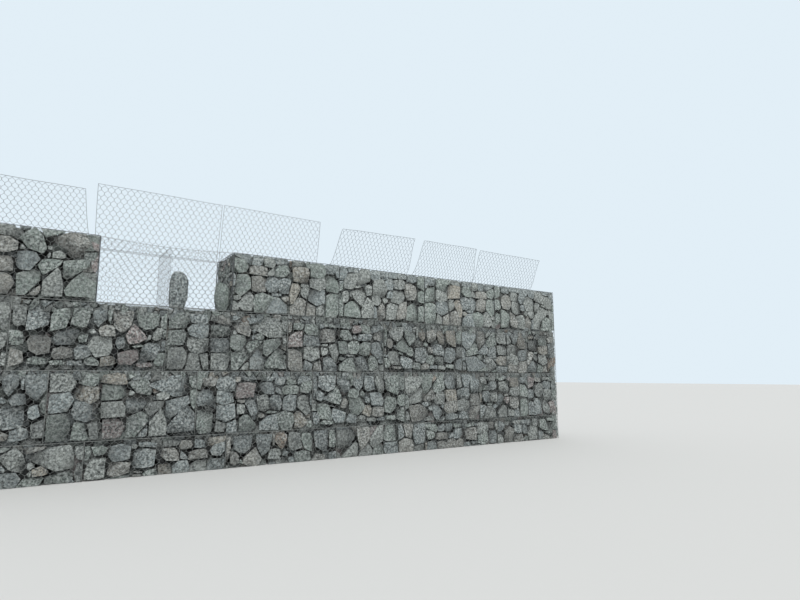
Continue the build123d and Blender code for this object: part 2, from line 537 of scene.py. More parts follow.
def keep_behind_netting(points, basket, sides):
    """Push points in behind the netting, and say how much painted shade each gets for its depth, from 0
    to 1.
    """
    recess_shade = np.full(len(points), 1.0)
    for side in sides:
        axis, end, _ = SIDES[side]
        sign = 1 if end else -1
        skin = np.full(len(points), basket[end][axis])
        if side != "top":
            along = 1 - axis
            edges = (basket[0][along], basket[0][2]), (basket[1][along], basket[1][2])
            skin += sign * (swell(points[:, along], points[:, 2], *edges) - under_netting)
        else:
            skin -= hollow(points, basket)
        points[:, axis] = sign * np.minimum(sign * points[:, axis], sign * skin)
        under = sign * (skin - points[:, axis])
        recess_shade = np.minimum(recess_shade, np.clip((under - dark_from) / dark_over, 0, 1))
    return recess_shade


def finish_stone(heap, rng, block, basket, sides, look):
    """Add a stone to the heap. Look holds its values."""
    bmesh.ops.remove_doubles(block, verts=block.verts[:], dist=shortest_edge)
    if len(block.faces) < 4:
        block.free()
        return
    block.verts.index_update()
    points = np.array([v.co for v in block.verts])
    faces = [[v.index for v in f.verts] for f in block.faces]
    block.free()
    depth = keep_behind_netting(points, basket, sides)
    shift = [rng.uniform(-40, 40) for _ in range(3)]
    heap.add(points, faces, depth=depth, shift=shift, **look)


# %% [markdown]
# ## Making the stones of a basket
# Each ball becomes a stone, and most of the big ones are split once or twice more, which gives
# the straight-sided wedges of broken rock. The planes between neighbours are turned a little, the
# same way for both stones, so that no two joints are alike and small dark holes open where three
# stones meet.


# %% One basket of stones
# how far off a ball still has a say in a stone's shape, and how far a stone can reach
neighbour_reach, stone_reach = 0.8, 0.6
joint_turn, joint_gap, big_stone = 0.20, (0.003, 0.013), 0.08


def stones_from_balls(heap, rng, box, basket, sides, balls, coarse, shades):
    """Saw all the stones of a basket and add them to the heap."""
    low, high = Vector(box[0]), Vector(box[1])
    centres = [Vector(b[:3]) for b in balls]
    radii = [b[3] for b in balls]
    turns = {}
    for i, (centre, radius) in enumerate(zip(centres, radii)):
        planes = []
        distance = [(other - centre).length for other in centres]
        near = (j for j in range(len(balls)) if j != i and distance[j] < neighbour_reach)
        others = sorted(near, key=lambda j: distance[j])
        for j in others:
            pair = (min(i, j), max(i, j))
            if pair not in turns:
                turn = Vector([rng.gauss(0, joint_turn) for _ in range(3)])
                turns[pair] = (turn, rng.uniform(*joint_gap))
            turn, gap = turns[pair]
            line = centres[j] - centre
            far = line.length
            share = (far * far + radius * radius - radii[j] * radii[j]) / (2 * far)
            share = min(max(share, 0.12 * far), 0.88 * far)
            normal = (line / far + (turn if i < j else -turn)).normalized()
            planes.append((centre + line / far * share - normal * gap, normal))
        start_low = [max(a, c - stone_reach) for a, c in zip(low, centre)]
        start_high = [min(b, c + stone_reach) for b, c in zip(high, centre)]
        open_sides = []
        for side in sides:
            axis, end, _ = SIDES[side]
            wall = box[end][axis]
            rise = 0.0
            if side != "top":
                along = 1 - axis
                edges = (low[along], low.z), (high[along], high.z)
                rise = float(swell(centre[along], centre.z, *edges))
            if abs(centre[axis] - wall) < radius * 1.5:
                open_sides.append(side)
                if end:
                    start_high[axis] = wall + rise
                else:
                    start_low[axis] = wall - rise
        outer = SIDES[open_sides[0]][2] if open_sides else None
        for part in split_planes(rng, centre, outer, radius):
            block = saw(start_low, start_high, planes + part)
            if block is None:
                continue
            for side in open_sides:
                if side == "top":
                    inset = rng.uniform(0.006, 0.032)
                else:
                    inset = max(0.0, rng.gauss(0.008, 0.009))
                facets = rng.choice((0, 1, 1, 2)) if radius > big_stone else 0
                hew(rng, block, SIDES[side][2], inset, facets, 3 if radius > big_stone else 2)
            look = {"tone": rng.random(), "shade": rng.uniform(*shades)}
            look["rough"] = coarse * rng.uniform(0.7, 1.3)
            finish_stone(heap, rng, block, basket, sides, look)


# %% [markdown]
# ## Measured stones
# The three full baskets of the top course that stand nearest are laid as they were built. The
# outline of each facing stone is given from the basket's lower left corner, going round to the
# left, as distances along and up in centimetres, after a letter for its colour. A stone is sawn
# along its outline and narrows inwards, as a mason sets it, so that the joints are dark. The
# fronts of the fifth and sixth baskets mirror the third and fourth. All the other faces reuse
# these outlines too, turned over and shaken a little, with colours by chance.

# %% Outlines of the measured stones
measured_stones = {
    1: (
        ("p", 64, 87, 87, 83, 98, 84, 96, 97, 85, 99, 67, 96),
        ("n", 66, 58, 91, 60, 101, 65, 101, 76, 90, 83, 67, 81),
        ("n", 67, 56, 68, 33, 98, 34, 98, 48, 94, 57),
        ("n", 69, 31, 70, 2, 94, 2, 101, 18, 97, 28, 90, 32),
        ("g", 99, 85, 112, 68, 131, 62, 135, 71, 129, 88, 119, 98),
        ("b", 100, 97, 101, 91, 106, 91, 112, 94, 115, 97, 107, 99),
        ("g", 124, 97, 126, 93, 131, 86, 153, 93, 156, 96, 150, 97),
        ("n", 126, 82, 166, 62, 190, 64, 188, 85, 182, 97, 160, 96),
        ("p", 134, 75, 136, 68, 142, 70, 140, 75),
        ("p", 141, 58, 153, 58, 158, 60, 158, 65, 150, 70, 141, 67),
        ("p", 135, 62, 136, 57, 139, 58, 140, 64, 138, 66),
        ("b", 99, 44, 105, 37, 117, 37, 129, 55, 122, 65, 99, 65),
        ("p", 103, 66, 108, 66, 110, 69, 106, 73, 103, 72),
        ("g", 124, 46, 132, 31, 152, 48, 155, 56, 142, 57, 130, 55),
        ("g", 155, 32, 162, 27, 189, 51, 188, 63, 155, 56),
        ("r", 188, 85, 192, 77, 195, 75, 199, 75, 199, 95, 188, 94),
        ("r", 190, 55, 192, 47, 196, 42, 199, 47, 199, 73, 191, 71),
        ("g", 158, 13, 161, 5, 199, 5, 199, 35, 186, 51, 166, 27),
        ("p", 132, 2, 158, 3, 158, 20, 153, 40, 149, 46, 132, 24),
        ("g", 101, 32, 103, 2, 113, 2, 130, 25, 130, 36, 121, 42),
        ("n", 115, 2, 127, 3, 130, 7, 131, 15, 130, 19, 123, 12),
        ("p", 2, 70, 28, 73, 34, 85, 30, 99, 2, 98),
        ("g", 32, 99, 36, 83, 55, 78, 62, 84, 61, 98),
        ("n", 31, 72, 34, 61, 52, 54, 64, 59, 64, 79, 37, 81),
        ("b", 2, 42, 26, 44, 31, 60, 27, 71, 2, 68),
        ("p", 29, 44, 34, 33, 50, 29, 65, 35, 64, 56, 33, 58),
        ("n", 2, 2, 26, 2, 31, 15, 30, 31, 25, 41, 2, 39),
        ("g", 30, 2, 54, 2, 48, 27, 34, 30),
        ("p", 51, 26, 57, 2, 67, 2, 65, 31),
    ),
    3: (
        ("b", 1, 96, 2, 90, 29, 80, 30, 88, 26, 95),
        ("g", 2, 73, 9, 64, 22, 67, 26, 74, 21, 84, 2, 88),
        ("b", 31, 80, 41, 79, 49, 81, 50, 89, 48, 95, 33, 93),
        ("n", 28, 64, 59, 63, 57, 76, 48, 78, 33, 78, 28, 75),
        ("p", 52, 86, 54, 80, 69, 78, 72, 84, 69, 94, 54, 94),
        ("b", 72, 93, 73, 88, 77, 85, 95, 86, 96, 93, 83, 95),
        ("g", 73, 64, 89, 64, 99, 72, 95, 84, 79, 84, 73, 74),
        ("p", 58, 64, 65, 64, 71, 66, 71, 72, 69, 77, 63, 72),
        ("b", 55, 48, 62, 36, 78, 36, 81, 56, 73, 63, 60, 63),
        ("b", 80, 40, 86, 35, 99, 36, 102, 60, 89, 62, 82, 59),
        ("n", 31, 60, 33, 36, 41, 34, 56, 36, 56, 56, 45, 62),
        ("g", 3, 33, 13, 25, 30, 40, 28, 57, 22, 62, 7, 62),
        ("p", 8, 10, 20, 2, 33, 2, 35, 26, 29, 34, 22, 32),
        ("p", 1, 2, 8, 2, 11, 4, 9, 13, 1, 16),
        ("p", 2, 25, 3, 19, 10, 19, 14, 22, 11, 26),
        ("b", 1, 42, 3, 43, 4, 59, 1, 62),
        ("g", 35, 16, 38, 1, 56, 1, 71, 27, 50, 33, 38, 29),
        ("b", 60, 1, 77, 1, 97, 2, 97, 16, 81, 27, 69, 28),
        ("n", 86, 27, 88, 25, 93, 22, 98, 25, 98, 29, 93, 31),
        ("b", 68, 34, 69, 30, 79, 30, 84, 32, 83, 34),
        ("t", 105, 82, 108, 59, 138, 56, 137, 75, 134, 84, 119, 85),
        ("p", 105, 91, 106, 85, 129, 88, 129, 94, 118, 94),
        ("g", 131, 89, 133, 86, 139, 85, 139, 93, 134, 93),
        ("t", 100, 34, 103, 19, 108, 20, 122, 48, 115, 54, 105, 54),
        ("n", 102, 13, 103, 1, 131, 1, 132, 24, 126, 29, 118, 31),
        ("p", 122, 39, 125, 34, 134, 30, 136, 38, 136, 48, 123, 47),
        ("p", 122, 54, 123, 50, 128, 49, 136, 51, 134, 54),
        ("g", 140, 90, 141, 70, 163, 69, 170, 77, 168, 91, 153, 94),
        ("p", 140, 52, 159, 46, 171, 52, 169, 71, 140, 67),
        ("b", 138, 27, 153, 19, 169, 25, 168, 47, 139, 49),
        ("n", 134, 1, 151, 2, 151, 16, 136, 23),
        ("p", 153, 16, 154, 2, 169, 3, 167, 22),
        ("g", 173, 47, 198, 45, 199, 54, 197, 65, 190, 74, 173, 77),
        ("g", 173, 1, 194, 1, 199, 10, 199, 42, 182, 43, 173, 38),
        ("b", 169, 89, 174, 79, 188, 79, 191, 85, 191, 92, 177, 94),
        ("b", 192, 83, 195, 74, 199, 74, 199, 94, 193, 93),
    ),
    4: (
        ("p", 9, 64, 11, 56, 25, 55, 33, 59, 39, 86, 16, 83),
        ("b", 1, 70, 13, 71, 17, 87, 11, 93, 3, 92, 1, 83),
        ("b", 17, 92, 21, 87, 40, 88, 42, 92, 34, 94),
        ("p", 37, 80, 40, 65, 53, 67, 67, 73, 65, 92, 47, 92),
        ("b", 67, 90, 70, 79, 76, 76, 89, 80, 89, 94, 75, 93),
        ("b", 90, 86, 99, 80, 107, 81, 110, 86, 110, 93, 91, 93),
        ("p", 74, 65, 75, 47, 99, 45, 108, 62, 96, 80, 77, 76),
        ("b", 101, 76, 108, 61, 118, 61, 124, 69, 120, 84, 112, 83),
        ("b", 112, 85, 130, 85, 131, 93, 112, 92),
        ("p", 123, 81, 125, 65, 137, 64, 149, 67, 150, 79, 146, 85),
        ("b", 132, 88, 137, 85, 149, 85, 153, 88, 150, 93, 133, 92),
        ("n", 151, 54, 158, 44, 176, 47, 180, 58, 177, 72, 166, 79, 151, 75),
        ("b", 155, 91, 156, 82, 170, 81, 178, 84, 178, 92, 168, 92),
        ("g", 181, 81, 183, 73, 199, 67, 199, 95, 191, 94, 181, 90),
        ("g", 182, 60, 184, 45, 191, 42, 199, 42, 199, 64, 189, 65),
        ("p", 26, 49, 31, 38, 49, 24, 59, 45, 53, 58, 39, 56),
        ("p", 33, 61, 34, 58, 46, 61, 44, 63),
        ("p", 55, 63, 60, 46, 69, 47, 71, 56, 69, 64, 64, 66),
        ("p", 48, 13, 49, 3, 77, 5, 74, 32, 61, 42, 51, 26),
        ("p", 71, 45, 74, 30, 84, 29, 91, 33, 94, 39, 90, 47),
        ("b", 77, 5, 82, 5, 81, 23, 77, 26),
        ("n", 83, 3, 96, 3, 103, 8, 101, 24, 94, 34, 83, 18),
        ("p", 96, 42, 97, 37, 100, 34, 106, 37, 106, 40, 103, 44),
        ("b", 106, 45, 115, 45, 119, 49, 118, 56, 114, 58, 108, 56),
        ("p", 116, 38, 134, 35, 145, 40, 149, 51, 146, 63, 122, 61),
        ("p", 105, 17, 106, 3, 127, 5, 131, 31, 114, 35, 108, 32),
        ("n", 129, 15, 132, 5, 149, 8, 152, 17, 152, 40, 137, 36),
        ("g", 154, 5, 181, 3, 182, 42, 173, 41, 157, 32, 154, 18),
        ("g", 183, 18, 184, 4, 198, 4, 198, 29, 195, 35, 184, 33),
        ("g", 11, 5, 46, 3, 41, 27, 31, 34, 21, 31, 12, 24),
        ("p", 7, 29, 15, 30, 20, 38, 21, 48, 15, 51, 7, 48),
        ("p", 22, 43, 25, 41, 29, 51, 22, 48),
        ("g", 1, 50, 6, 51, 7, 58, 6, 67, 1, 65),
        ("g", 1, 5, 8, 5, 9, 24, 5, 47, 1, 46),
        ("b", 1, 64, 8, 65, 7, 68, 1, 67),
    ),
}
# the tone that each letter stands for
LETTERS = {"b": 0.10, "g": 0.40, "p": 0.70, "n": 0.88, "t": 0.955, "r": 0.98}
FLIPS = ("", "across", "over", "across over")
# the way to the right, seen from outside each side
WAYS = {"front": (1, 0), "rear": (-1, 0), "left": (0, -1), "right": (0, 1)}
# what the front and rear stones take up of an end
corner_depth = 0.19
# a side of an outline this near an open edge of the basket is cut square
near_top, near_end = 0.06, 0.03
narrowest, spare = 0.03, 0.01


def laid_stone(rng, corners, grow, basket, side, sides, thickness):
    """Saw a stone to its outline on one side of a basket. Corners are metres along and up."""
    axis, end, outward = SIDES[side]
    other = 1 - axis
    along = Vector((*WAYS[side], 0))
    start = Vector(basket[0])
    start[axis] = basket[end][axis]
    start[other] = basket[along[other] < 0][other]
    spots = [start + along * u + Vector((0, 0, v)) for u, v in corners]
    centre = sum(spots, Vector()) / len(spots)
    edges = (basket[0][other], basket[0][2]), (basket[1][other], basket[1][2])
    proud = outward * float(swell(centre[other], centre.z, *edges))
    planes = []
    for a, b in zip(spots, spots[1:] + spots[:1]):
        step = b - a
        out = (along * step.z - Vector((0, 0, 1)) * step.dot(along)).normalized()
        middle = (a + b) / 2 + out * grow + proud
        outside = {
            "left": middle.x < basket[0][0] + near_end,
            "right": middle.x > basket[1][0] - near_end,
            "top": middle.z > basket[1][2] - near_top,
        }
        at_open_side = any(outside.get(name, False) for name in sides if name != side)
        slope = 0 if at_open_side else radians(rng.uniform(2, 14))
        planes.append((middle, out * cos(slope) - outward * sin(slope)))
    low, high = [0.0] * 3, [0.0] * 3
    for k in (other, 2):
        margin = corner_depth if k == 1 else 0.0
        low[k] = max(basket[0][k] + margin, min(s[k] for s in spots) - spare)
        high[k] = min(basket[1][k] - margin, max(s[k] for s in spots) + spare)
        if high[k] - low[k] < narrowest:
            return None
    face, back = basket[end][axis] + proud[axis], basket[end][axis] - outward[axis] * thickness
    low[axis], high[axis] = sorted((face, back))
    return saw(low, high, planes)


def lay_face(heap, rng, layout, flips, basket, side, sides, course, band):
    """Lay a whole face of a basket from a layout, flipped as asked, and count its stones.

    The front of the top course keeps to its outlines and colours. Elsewhere the corners are
    shaken, and a band at the top is left for rubble. The foot of the first course is in the ground.
    """
    exact = course == 4 and side == "front"
    other = 1 - SIDES[side][0]
    width = basket[1][other] - basket[0][other]
    skip = rng.choice((0.0, 1.99 - width)) if width < 1.9 else 0.0
    deep = any(name in sides for name in ("left", "right"))
    sunk = 0.45 if course == 1 else 0.0
    # the third and fourth baskets were measured a little too low, and so were all the top stones
    stretch = 1.035 if exact and layout != 1 else 1 - band
    top_row, raised = 88, 0.032 if exact else 0.0
    laid = 0
    for letter, *outline in measured_stones[layout]:
        corners = list(zip(outline[::2], outline[1::2]))
        if "across" in flips:
            corners = [(200 - u, v) for u, v in reversed(corners)]
        if "over" in flips:
            corners = [(u, 100 - v) for u, v in reversed(corners)]
        size = (max(outline[::2]) - min(outline[::2])) * (max(outline[1::2]) - min(outline[1::2]))
        if not exact:
            corners = [(u + rng.gauss(0, 0.6), v + rng.gauss(0, 0.6)) for u, v in corners]
        corners = [
            (u / 100 - skip, v / 100 * stretch - sunk + raised * (v > top_row)) for u, v in corners
        ]
        thickness = rng.uniform(0.17, 0.21) if deep else rng.uniform(0.16, 0.26)
        if max(u for u, v in corners) < narrowest or max(v for u, v in corners) < narrowest:
            continue
        grow = (-0.003 if layout == 1 else 0.007) if exact else rng.uniform(-0.004, 0.007)
        block = laid_stone(rng, corners, grow, basket, side, sides, thickness)
        if block is None:
            continue
        facets = rng.choice((1, 2, 3)) if size > 200 else 0
        inset = max(0.0, rng.gauss(0.006, 0.007) if exact else rng.gauss(0.010, 0.012))
        hew(rng, block, SIDES[side][2], inset, facets, 0 if exact else 2)
        if exact:
            # painted shade: the front is a little darker at its left end
            dim = 0.10 if basket[0][0] < 0 else -0.02
            look = {"tone": LETTERS[letter], "shade": max(0.0, dim + rng.uniform(0, 0.14))}
            look["rough"] = rng.uniform(0.6, 1.1)
        else:
            # partly painted shade: faces other than the top course's front, mostly in the lower courses,
            # are darker
            look = {"tone": rng.random(), "shade": rng.uniform(0.12, 0.48)}
            look["rough"] = 1.15 * rng.uniform(0.7, 1.3)
        finish_stone(heap, rng, block, basket, sides, look)
        laid += 1
    return laid


# %% [markdown]
# ## Filling a basket
# The front and rear are laid first, with a band of fine rubble along the top of the second and
# third course. The ends of the wall and the first basket's side towards the empty one are laid
# too, with a column of small stones in each corner. The third basket's side towards the empty one
# is crushed stone. Then the inside is packed, and the open tops.

# %% Fill all the baskets
# the layout of each front in the top course, and how it is turned over
top_layouts = {1: (1, ""), 3: (3, ""), 4: (4, ""), 5: (3, "across"), 6: (4, "across")}
rubble_bands = {2: 0.03, 3: 0.07}
post_air, bed_air, set_back = 0.006, 0.005, 0.055
band_reach, corner_reach = (0.014, 0.16), (0.012, 0.18)
# radii of the balls, and how many are thrown
rubble = (0.06, 60), (0.045, 160), (0.03, 160)
corner_stones = (0.09, 60), (0.06, 60)
crushed_stone = (0.06, 40), (0.042, 200), (0.028, 400)
backing = (0.12, 60), (0.07, 160), (0.045, 100)
top_stones = (0.16, 60), (0.12, 90), (0.08, 90), (0.05, 100)
core = (0.20, 80), (0.16, 80)


def seen_sides(course, left, right):
    """The sides of a basket that other baskets leave open."""
    sides = ["front", "rear"]
    if left == -half_length or (course == 4 and left == open_right):
        sides.append("left")
    if right == half_length or (course == 4 and right == open_left):
        sides.append("right")
    if course == 4 or (course == 3 and left < open_right and right > open_left):
        sides.append("top")
    return sides


def rubble_band(heap, rng, basket, side, sides, band):
    """Pack fine rubble along the top of a face, a little behind the laid stones."""
    out = SIDES[side][2].y
    ys = sorted(out * (half_depth - inward) for inward in band_reach)
    strip = (basket[0][0], ys[0], basket[1][2] - band - 0.10), (basket[1][0], ys[1], basket[1][2])
    balls = []
    throw(rng, balls, strip, side, *rubble)
    seen = [side] + [name for name in sides if name not in ("front", "rear")]
    stones_from_balls(heap, rng, strip, basket, seen, balls, 1.15, (0.25, 0.6))


def corner_column(heap, rng, basket, side, end, sides):
    """Pack the corner between a face and a laid end."""
    x_out, y_out = SIDES[end][2].x, SIDES[side][2].y
    xs = sorted(basket[x_out > 0][0] - x_out * inward for inward in corner_reach)
    ys = sorted(y_out * (half_depth - inward) for inward in corner_reach)
    column = (xs[0], ys[0], basket[0][2]), (xs[1], ys[1], basket[1][2])
    balls = []
    throw(rng, balls, column, None, *corner_stones)
    seen = [side, end] + ["top"] * ("top" in sides)
    stones_from_balls(heap, rng, column, basket, seen, balls, 1.0, (0.15, 0.4))


def fill_basket(course, number):
    """Fill one basket with stones, and say how many it took."""
    left, right = joints[course - 1][number - 1 : number + 1]
    rng = Random(1000 * course + number)
    basket = (
        (left + post_air, -half_depth, levels[course - 1] + bed_air),
        (right - post_air, half_depth, levels[course] - bed_air),
    )
    sides = seen_sides(course, left, right)
    heap, count = Heap(), 0
    band = rubble_bands.get(course, 0.0)
    for turn, side in enumerate(("front", "rear")):
        layout = (1, 3, 4)[(2 * course + number + turn) % 3]
        flips = FLIPS[(3 * course + number + 2 * turn) % 4]
        if course == 4 and side == "front":
            layout, flips = top_layouts[number]
        count += lay_face(heap, rng, layout, flips, basket, side, sides, course, band)
        if band:
            rubble_band(heap, rng, basket, side, sides, band)
    crushed = ["left"] if (course, number) == (4, 3) else []
    ends = [name for name in sides if name in ("left", "right") and name not in crushed]
    for end in ends:
        layout, flips = (3, 4, 1)[(course + number) % 3], FLIPS[(course + number) % 4]
        count += lay_face(heap, rng, layout, flips, basket, end, sides, course, 0.0)
    for end in ends:
        for side in ("front", "rear"):
            corner_column(heap, rng, basket, side, end, sides)
    box = (
        (basket[0][0] + set_back * ("left" in ends), -half_depth + set_back, basket[0][2]),
        (basket[1][0] - set_back * ("right" in ends), half_depth - set_back, basket[1][2]),
    )
    balls = []
    for side in crushed:
        throw(rng, balls, box, side, *crushed_stone)
    for side in sides:
        if side not in crushed:
            throw(rng, balls, box, side, *(top_stones if side == "top" else backing))
    throw(rng, balls, box, None, *core)
    # partly painted shade: the lower courses are darker than the top one; the crushed stone is painted
    # lighter against the shade on its side
    shades = (0.0, 0.25) if crushed else (0.1, 0.35) if course == 4 else (0.12, 0.45)
    stones_from_balls(heap, rng, box, basket, sides, balls, 1.0, shades)
    node = f"course_{course}_fill_{number}"
    name = node.replace("fill", "stones")
    heap.piece(name, stone, "wall", "rubble_stone", node, faceted=True)
    return count + len(balls)


stone_count = 0
for course in range(1, 5):
    for number in range(1, len(joints[course - 1])):
        if (course, number) != (4, 2):
            stone_count += fill_basket(course, number)
    clock(f"course {course}: {stone_count} stones so far")

# %% [markdown]
# ## Facing stones
# Two big stones already stand on end at the front of the empty basket. Each starts as a block the
# size of its CAD solid, is sawn round by many planes that touch an egg shape, and then is divided
# twice more, and its points are pushed in a little each time for a broken skin.

# %% The two facing stones
saw_cuts, golden_turn, bevel_width, skin_depths = 34, 2.4, 0.008, (0.007, 0.004)
# a fine division leaves the points after these in another order each time
settled_points = 2900


def standing_stone(node, seed, tone, coarse, shape):
    """A rough upright stone in the box of its CAD node."""
    rng = Random(seed)
    low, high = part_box(node)
    middle, half = (low + high) / 2, (high - low) / 2
    belly_share, lowest, foot, shoulder = shape
    belly = low.z + (high.z - low.z) * belly_share
    planes = []
    for k in range(saw_cuts):
        turn, rise = k * golden_turn, rng.uniform(lowest, 1.35)
        out = Vector((cos(turn) * cos(rise), sin(turn) * cos(rise), sin(rise)))
        tall = high.z - belly if out.z > 0 else (belly - low.z) * foot
        reach = Vector((half.x, half.y, tall))
        full = 1 + shoulder * max(0.0, sin(2 * rise))
        touch = out * reach * full * rng.uniform(0.95, 1.01)
        normal = Vector([a / b for a, b in zip(out, reach)]).normalized()
        planes.append((Vector((middle.x, middle.y, belly)) + touch, normal))
    block = saw(low, high, planes)
    bmesh.ops.remove_doubles(block, verts=block.verts[:], dist=0.012)
    bmesh.ops.bevel(
        block,
        geom=block.edges[:],
        offset=bevel_width,
        segments=1,
        affect="EDGES",
        clamp_overlap=True,
    )
    bmesh.ops.triangulate(block, faces=block.faces[:])
    for deepest in skin_depths:
        bmesh.ops.subdivide_edges(block, edges=block.edges[:], cuts=1, use_grid_fill=True)
        block.normal_update()
        settled, others = block.verts[:settled_points], block.verts[settled_points:]
        for v in settled + sorted(others, key=lambda v: v.co[:]):
            if v.co.z > low.z + 0.01:
                v.co -= v.normal * rng.uniform(0, deepest)
    block.verts.index_update()
    heap = Heap()
    points = np.array([v.co for v in block.verts])
    points = np.clip(points, np.array(low), np.array(high))
    faces = [[v.index for v in f.verts] for f in block.faces]
    block.free()
    look = {"tone": tone, "shade": 0.1, "depth": 0.0, "rough": coarse}
    heap.add(points, faces, shift=[rng.uniform(-9, 9)] * 3, **look)
    name = node.replace("facing_stone", "standing_stone")
    made = heap.piece(name, stone, "wall", "facing_stone", node)
    clock(f"{made.name}: {tally[made.name]} triangles")


# a shape is the height of the widest place, how far down the lowest plane touches, how deep the egg
# goes on below, and how full its shoulders are
standing_stone("facing_stone_1", 5, 0.10, 1.1, (0.40, -0.5, 1.25, 0.16))
standing_stone("facing_stone_2", 8, 0.40, 0.35, (0.50, -1.05, 1.08, 0.07))

# %% [markdown]
# ## Netting over the stones
# Gabion netting is woven by winding neighbouring wires round each other, one pair to the left and
# the next to the right, which leaves six-sided meshes 96 mm wide. Over the stones it is drawn as
# one closed web: four points where three wires meet, one on the ridge of the wire and three
# between the wires, and three faces along each wire. The web follows the swell of the basket.

# %% A web of hexagonal netting
# half a mesh across, half a mesh up, and half the length of a twist
mesh_step, mesh_pitch, half_twist = 0.048, 0.0725, 0.018
web_reach, web_lift, floor_web_lift = 0.0024, 0.002, 0.004
above_ground = 0.001


def web(heap, place, width, height):
    """Add a closed web. place(s, t, n) turns distances along, up and out of it into points."""
    columns, rows = round(width / mesh_step), round(height / mesh_pitch)
    step, pitch = width / columns, height / rows
    grid = [(m, r) for r in range(rows + 1) for m in range(columns + 1) if m % 2 == r % 2]
    number = {spot: k for k, spot in enumerate(grid)}
    m, r = np.array(grid).T
    along = np.repeat(m * step, 8).reshape(-1, 2, 4)
    up = [np.maximum(r * pitch - half_twist, 0), np.minimum(r * pitch + half_twist, height)]
    up = np.repeat(np.stack(up, 1)[:, :, None], 4, 2)
    out = np.zeros_like(up)
    # the points of a joint: 0 the ridge, 1 right, 2 between the slanting wires, 3 left
    along = along + np.array([0, 1, 0, -1]) * web_reach
    up = up + np.array([[0, 0.35, -1, 0.35], [0, -0.35, 1, -0.35]]) * web_reach
    out = out + np.array([1.1, -0.5, -0.5, -0.5]) * web_reach
    points = place(along.reshape(-1), up.reshape(-1), out.reshape(-1))
    first = np.arange(len(grid)) * 8
    low, high = first, first + 4
    quads, corners = [], []

    def run(a, a_right, a_left, b, b_right, b_left):
        quads.append(np.stack([a, a + a_right, b + b_right, b], 1))
        quads.append(np.stack([a + a_left, a, b, b + b_left], 1))
        quads.append(np.stack([a + a_right, a + a_left, b + b_left, b + b_right], 1))

    run(low, 1, 3, high, 1, 3)
    corners.append(np.stack([high + 3, high + 2, high + 1], 1))
    corners.append(np.stack([low + 3, low + 1, low + 2], 1))
    for turn, sides_a, sides_b in ((1, (1, 2), (2, 3)), (-1, (2, 3), (1, 2))):
        pairs = [(number[(x, y)], number.get((x + turn, y + 1))) for x, y in grid]
        have = np.array([p for p in pairs if p[1] is not None])
        a, b = first[have[:, 0]] + 4, first[have[:, 1]]
        run(a, sides_a[0], sides_a[1], b, sides_b[0], sides_b[1])
        bare = np.array([p[0] for p in pairs if p[1] is None])
        end = first[bare] + 4
        corners.append(np.stack([end, end + sides_a[0], end + sides_a[1]], 1))
        bare = np.array([k for k, (x, y) in enumerate(grid) if (x - turn, y - 1) not in number])
        end = first[bare]
        corners.append(np.stack([end, end + sides_b[1], end + sides_b[0]], 1))
    heap.add(points, np.concatenate(quads))
    heap.add(np.zeros((0, 3)), np.concatenate(corners) - len(points))


def flat_place(origin, s_way, t_way, n_way, size, lift, swollen):
    """How a web lies on one side of a basket."""
    origin, s_way, t_way, n_way = map(np.array, (origin, s_way, t_way, n_way))

    def place(s, t, n):
        rise = swell(s, t, (0, 0), size) if swollen else 0
        out = n + lift + rise
        spots = origin + s[:, None] * s_way + t[:, None] * t_way + out[:, None] * n_way
        spots[:, 2] = np.maximum(spots[:, 2], above_ground)
        return spots

    return place


for course in range(1, 5):
    heap = Heap()
    bottom, top = levels[course - 1], levels[course]
    height = top - bottom
    for number in range(1, len(joints[course - 1])):
        if (course, number) == (4, 2):
            continue
        left, right = joints[course - 1][number - 1 : number + 1]
        width = right - left
        turns = [
            ((left, -half_depth, bottom), (1, 0, 0), (0, -1, 0), width),
            ((right, half_depth, bottom), (-1, 0, 0), (0, 1, 0), width),
        ]
        if left == -half_length:
            turns.append(((left, half_depth, bottom), (0, -1, 0), (-1, 0, 0), 1.0))
        if right == half_length:
            turns.append(((right, -half_depth, bottom), (0, 1, 0), (1, 0, 0), 1.0))
        for origin, s_way, n_way, size in turns:
            place = flat_place(origin, s_way, (0, 0, 1), n_way, (size, height), web_lift, True)
            web(heap, place, size, height)
    if course == 3:
        # the floor of the empty basket
        size, ways = (open_right - open_left, 2 * half_depth), ((1, 0, 0), (0, 1, 0), (0, 0, 1))
        origin = (open_left, -half_depth, top)
        web(heap, flat_place(origin, *ways, size, floor_web_lift, False), *size)
    made = heap.piece(f"course_{course}_netting", lit_wire, "wall", "wire_netting")
    clock(f"{made.name}: {tally[made.name]} triangles")

# %% [markdown]
# ## Round wires
# The lids and the sides of the empty basket are seen against the sky, so there every wire is a
# round one of its own. One function bends many of them at once: it puts a ring of points round
# each point of each path and joins the rings.


